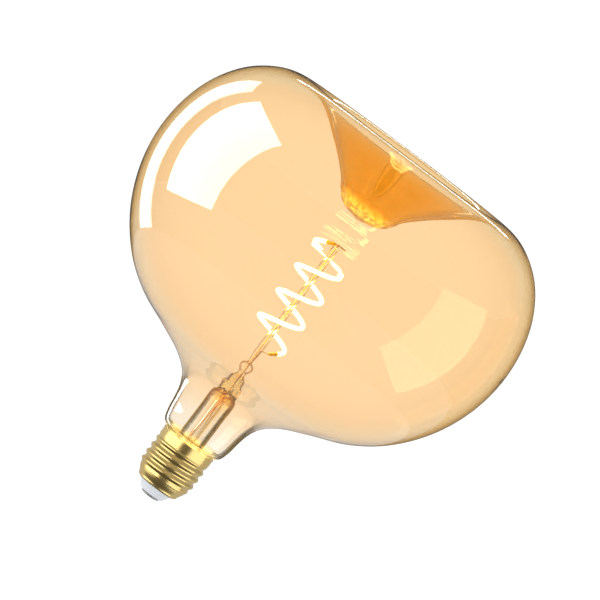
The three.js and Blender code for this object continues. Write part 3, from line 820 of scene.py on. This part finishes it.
LEFT_PLACE = (-0.99, 0.0, 0.269)
LEFT_SIZE = (0.80, 1.12)
glass_lamps = [
    softbox("softbox_left", LEFT_PLACE, LEFT_SIZE, 11),
    softbox("strip_back_left", (-0.88, 0.86, 0.0), (0.36, 1.8), 4.5),
    softbox("strip_core", (-0.88, 0.86, 0.02), (0.24, 1.5), 3),
    softbox("strip_heart", (-0.88, 0.86, 0.05), (0.13, 1.2), 3),
    softbox("rim_back", (0.0, 1.0, 0.60), (0.5, 0.05), 6),
]

# The glass lamps pass the cap and the floor by, and the cap has soft boxes of its own all round it.
cap_pieces = bpy.data.collections.new("cap_pieces")
glass_receivers = bpy.data.collections.new("glass_receivers")
for name in ("brass_shell", "glazed_insulator", "contact_disc"):
    cap_pieces.objects.link(bpy.data.objects[name])
    glass_receivers.objects.link(bpy.data.objects[name])
glass_receivers.objects.link(floor)
for member in glass_receivers.collection_objects:
    member.light_linking.link_state = "EXCLUDE"
for lamp in glass_lamps:
    lamp.light_linking.receiver_collection = glass_receivers
CAP_MIDDLE = Vector((0, 0, 0.016))
CAP_BOX_DISTANCE = 0.7
CAP_BOX_TALL = 1.15
CAP_BOX_Z = -0.07
# azimuth from the front: (width, radiance)
CAP_BOXES = {-60: (1.15, 2.0), 62: (1.0, 1.4), 135: (0.9, 0.45), -135: (0.9, 0.5)}
for azimuth, (width, radiance) in CAP_BOXES.items():
    angle = math.radians(azimuth - 90)
    place = (CAP_BOX_DISTANCE * math.cos(angle), CAP_BOX_DISTANCE * math.sin(angle), CAP_BOX_Z)
    box = softbox(f"cap_box_{azimuth % 360}", place, (width, CAP_BOX_TALL), radiance, at=CAP_MIDDLE)
    box.light_linking.receiver_collection = cap_pieces
bpy.data.objects["brass_shell"].visible_glossy = False

# A pale ring under the globe, seen only by mirrored rays: it is what the cap mirrors above itself.
# Its rows are (radius, z) in metres.
RING_ROWS = [(0.0215, 0.049), (0.06, 0.056), (0.12, 0.056)]
RING_GLOW = (0.36, 0.48)
ring = loft("cap_ring", [(r, r, z) for r, z in RING_ROWS], 64)
ring_look = Look("cap_ring")
ring_glow = ring_look.add("ShaderNodeEmission")
ring_level = ring_look.spread(ring_look.noise(20, 2), *RING_GLOW)
ring_look.link(ring_level, ring_glow.inputs["Strength"])
ring_look.link(ring_glow.outputs[0], ring_look.output.inputs["Surface"])
ring_look.material.cycles.emission_sampling = "NONE"
ring.data.materials.append(ring_look.material)
ring.visible_camera = False
ring.visible_diffuse = False
ring.visible_transmission = False
ring.visible_shadow = False


def inner_panel(name, place, size, radiance):
    """The same softbox as the glass's inside wall mirrors it.
    Rays that have not been mirrored pass it by."""
    place = Vector(place)
    turn = (BULB_MIDDLE - place).to_track_quat("-Z", "Y").to_matrix().to_4x4()
    corners = [(x * size[0] / 2, y * size[1] / 2, 0) for x, y in ((-1, -1), (1, -1), (1, 1), (-1, 1))]
    points = [Matrix.Translation(place) @ turn @ Vector(corner) for corner in corners]
    panel = new_object(name, points, [(0, 1, 2, 3)])
    look = Look(name)
    path = look.add("ShaderNodeLightPath")
    mirrored = look.add("ShaderNodeMath", operation="GREATER_THAN")
    look.link(path.outputs["Glossy Depth"], mirrored.inputs[0])
    mirrored.inputs[1].default_value = 0.5
    glow = look.add("ShaderNodeEmission")
    glow.inputs["Strength"].default_value = radiance
    nothing = look.add("ShaderNodeBsdfTransparent")
    mix = look.add("ShaderNodeMixShader")
    look.link(mirrored.outputs[0], mix.inputs[0])
    look.link(nothing.outputs[0], mix.inputs[1])
    look.link(glow.outputs[0], mix.inputs[2])
    look.link(mix.outputs[0], look.output.inputs["Surface"])
    look.material.cycles.emission_sampling = "NONE"
    panel.data.materials.append(look.material)
    panel.visible_camera = False
    panel.visible_diffuse = False
    panel.visible_glossy = False
    panel.visible_shadow = False


inner_panel("softbox_left_inside", LEFT_PLACE, LEFT_SIZE, 3)

# The background is bright where the eye sees it, past the lamp or through its glass,
# amber once the glass has mirrored it, and dim for everything else.
SKY_SEEN = (1.12, 1.12, 1.12, 1)
SKY_MIRRORED = (0.90, 0.66, 0.32, 1)
SKY_DIM = (1.0, 0.90, 0.76, 1)
SKY_DIM_STRENGTH = 0.10
world = bpy.data.worlds.new("studio")
world.use_nodes = True
tree = world.node_tree
tree.nodes.clear()
ray = tree.nodes.new("ShaderNodeLightPath")
bright = tree.nodes.new("ShaderNodeBackground")
dim = tree.nodes.new("ShaderNodeBackground")
dim.inputs["Color"].default_value = SKY_DIM
dim.inputs["Strength"].default_value = SKY_DIM_STRENGTH
straight = tree.nodes.new("ShaderNodeMath")
straight.operation = "LESS_THAN"
straight.inputs[1].default_value = 0.5
tree.links.new(ray.outputs["Glossy Depth"], straight.inputs[0])
level = tree.nodes.new("ShaderNodeMix")
level.data_type = "RGBA"
level.inputs[6].default_value = SKY_MIRRORED
level.inputs[7].default_value = SKY_SEEN
tree.links.new(straight.outputs[0], level.inputs["Factor"])
tree.links.new(level.outputs[2], bright.inputs["Color"])
seen = tree.nodes.new("ShaderNodeMath")
seen.operation = "MAXIMUM"
tree.links.new(ray.outputs["Is Camera Ray"], seen.inputs[0])
tree.links.new(ray.outputs["Is Transmission Ray"], seen.inputs[1])
sky = tree.nodes.new("ShaderNodeMixShader")
tree.links.new(seen.outputs[0], sky.inputs[0])
tree.links.new(dim.outputs[0], sky.inputs[1])
tree.links.new(bright.outputs[0], sky.inputs[2])
sky_out = tree.nodes.new("ShaderNodeOutputWorld")
tree.links.new(sky.outputs[0], sky_out.inputs["Surface"])
scene = bpy.context.scene
scene.world = world

# ---- camera ----
CAMERA_HEIGHT = 0.242
CAMERA_DISTANCE = 2.14
LOOK_AT = Vector((0.0011, 0, 0.107))
ROLL = math.radians(37)
FRAME_WIDTH = 0.2586
SENSOR = 36.0

camera_data = bpy.data.cameras.new("camera")
camera = bpy.data.objects.new("camera", camera_data)
scene.collection.objects.link(camera)
eye = Vector((LOOK_AT.x, -CAMERA_DISTANCE, CAMERA_HEIGHT))
forward = (LOOK_AT - eye).normalized()
right = forward.cross(Vector((0, 0, 1))).normalized()
up = right.cross(forward)
image_right = right * math.cos(ROLL) + up * math.sin(ROLL)
image_up = up * math.cos(ROLL) - right * math.sin(ROLL)
turn = Matrix((image_right, image_up, -forward)).transposed()
camera.matrix_world = Matrix.Translation(eye) @ turn.to_4x4()
camera_data.sensor_width = SENSOR
camera_data.lens = SENSOR * (LOOK_AT - eye).length / FRAME_WIDTH
camera_data.clip_end = 50
scene.camera = camera

scene.view_settings.view_transform = "Standard"
scene.view_settings.look = "None"
scene.cycles.use_denoising = True
scene.cycles.max_bounces = 28
scene.cycles.transmission_bounces = 24
scene.cycles.glossy_bounces = 12
scene.cycles.transparent_max_bounces = 24
scene.cycles.caustics_reflective = False
scene.cycles.caustics_refractive = False
scene.cycles.sample_clamp_indirect = 12
